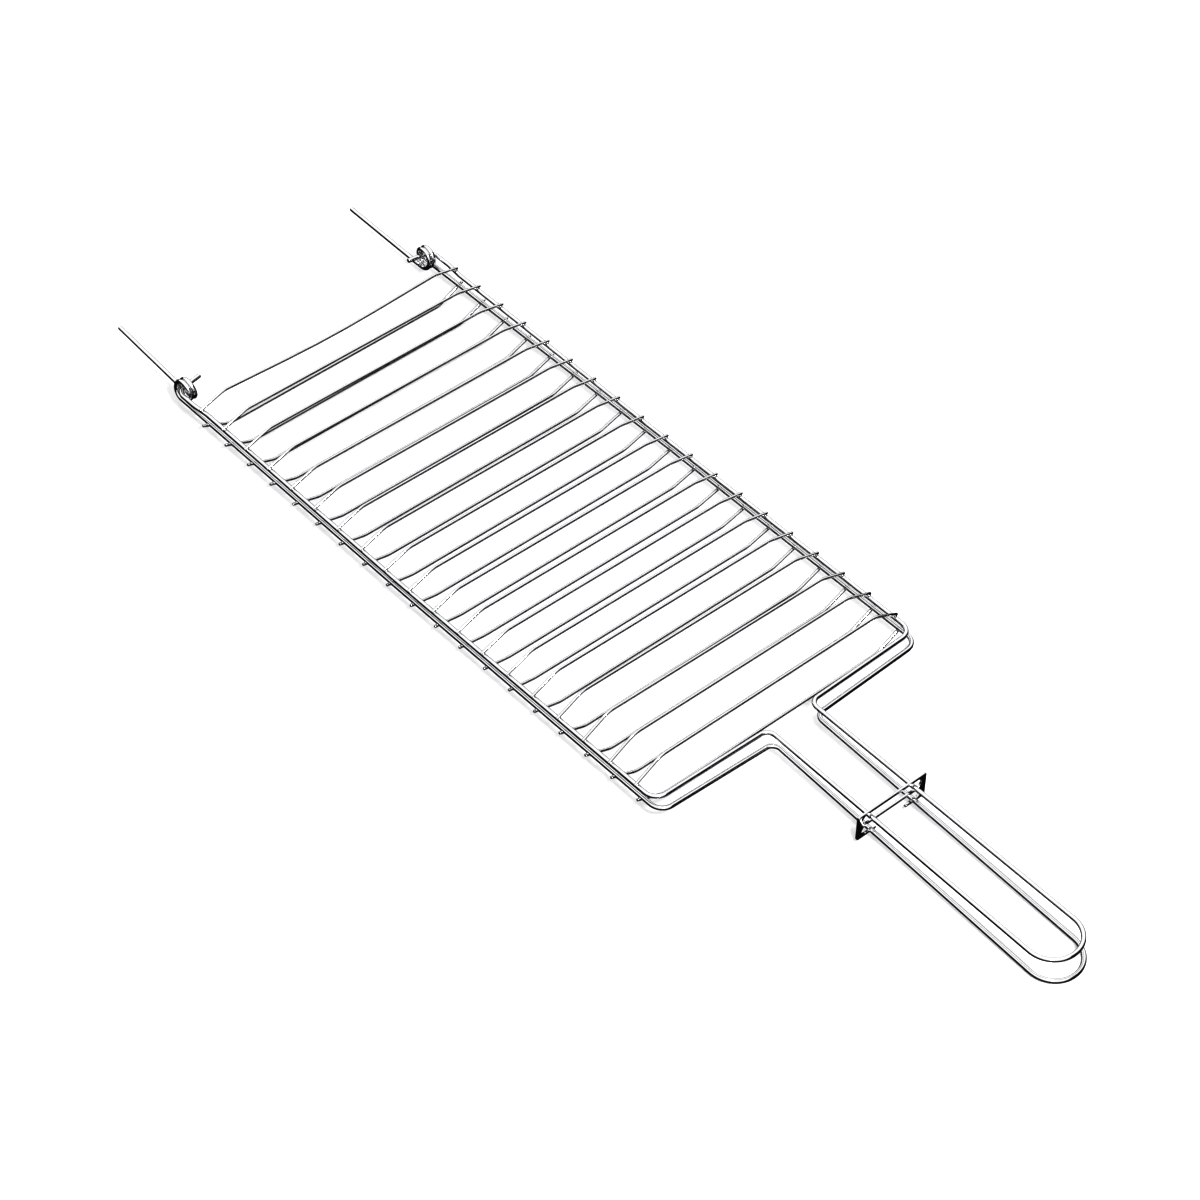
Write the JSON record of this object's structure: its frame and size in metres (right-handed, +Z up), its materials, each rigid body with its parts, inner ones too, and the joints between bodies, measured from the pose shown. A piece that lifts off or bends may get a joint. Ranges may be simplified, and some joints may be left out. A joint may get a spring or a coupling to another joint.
{
  "type": "grill basket",
  "caption": "Long hinged wire grill basket with raised crossbars, loop handles and a sliding slotted lock plate.",
  "frame": {"origin": "middle of the bounding box on the surface the closed basket rests on", "axes": "+X along the length from the legs to the handle, +Y across the basket, +Z up, top grate above"},
  "size_m": [1.0028, 0.2814, 0.0435],
  "materials": {
    "frame_wire": "bright drawn and plated wire",
    "bar_wire": "bright drawn and plated wire",
    "clip_plate": "bright plated sheet, softly brushed"
  },
  "bodies": {
    "lower_grate": {"bottom_frame": "frame_wire", "left_eye": "frame_wire", "right_eye": "frame_wire", "bottom_bar_01": "bar_wire", "bottom_bar_02": "bar_wire", "bottom_bar_03": "bar_wire", "bottom_bar_04": "bar_wire", "bottom_bar_05": "bar_wire", "bottom_bar_06": "bar_wire", "bottom_bar_07": "bar_wire", "bottom_bar_08": "bar_wire", "bottom_bar_09": "bar_wire", "bottom_bar_10": "bar_wire", "bottom_bar_11": "bar_wire", "bottom_bar_12": "bar_wire", "bottom_bar_13": "bar_wire", "bottom_bar_14": "bar_wire", "bottom_bar_15": "bar_wire", "bottom_bar_16": "bar_wire", "bottom_bar_17": "bar_wire", "bottom_bar_18": "bar_wire", "bottom_bar_19": "bar_wire"},
    "upper_grate": {"top_frame": "frame_wire", "top_bar_01": "bar_wire", "top_bar_02": "bar_wire", "top_bar_03": "bar_wire", "top_bar_04": "bar_wire", "top_bar_05": "bar_wire", "top_bar_06": "bar_wire", "top_bar_07": "bar_wire", "top_bar_08": "bar_wire", "top_bar_09": "bar_wire", "top_bar_10": "bar_wire", "top_bar_11": "bar_wire", "top_bar_12": "bar_wire", "top_bar_13": "bar_wire", "top_bar_14": "bar_wire", "top_bar_15": "bar_wire", "top_bar_16": "bar_wire", "top_bar_17": "bar_wire", "top_bar_18": "bar_wire", "top_bar_19": "bar_wire"},
    "clip": {"clip": "clip_plate"}
  },
  "joints": [
    {"name": "grate_hinge", "type": "hinge", "parent": "lower_grate", "child": "upper_grate", "pos_m": [-0.40374, 0, 0.02306], "axis": [0, -1, 0], "range_deg": [0, 165]},
    {"name": "clip_slide", "type": "slide", "parent": "upper_grate", "child": "clip", "axis": [0.9987, 0, -0.05], "range_m": [-0.05, 0.035]}
  ]
}
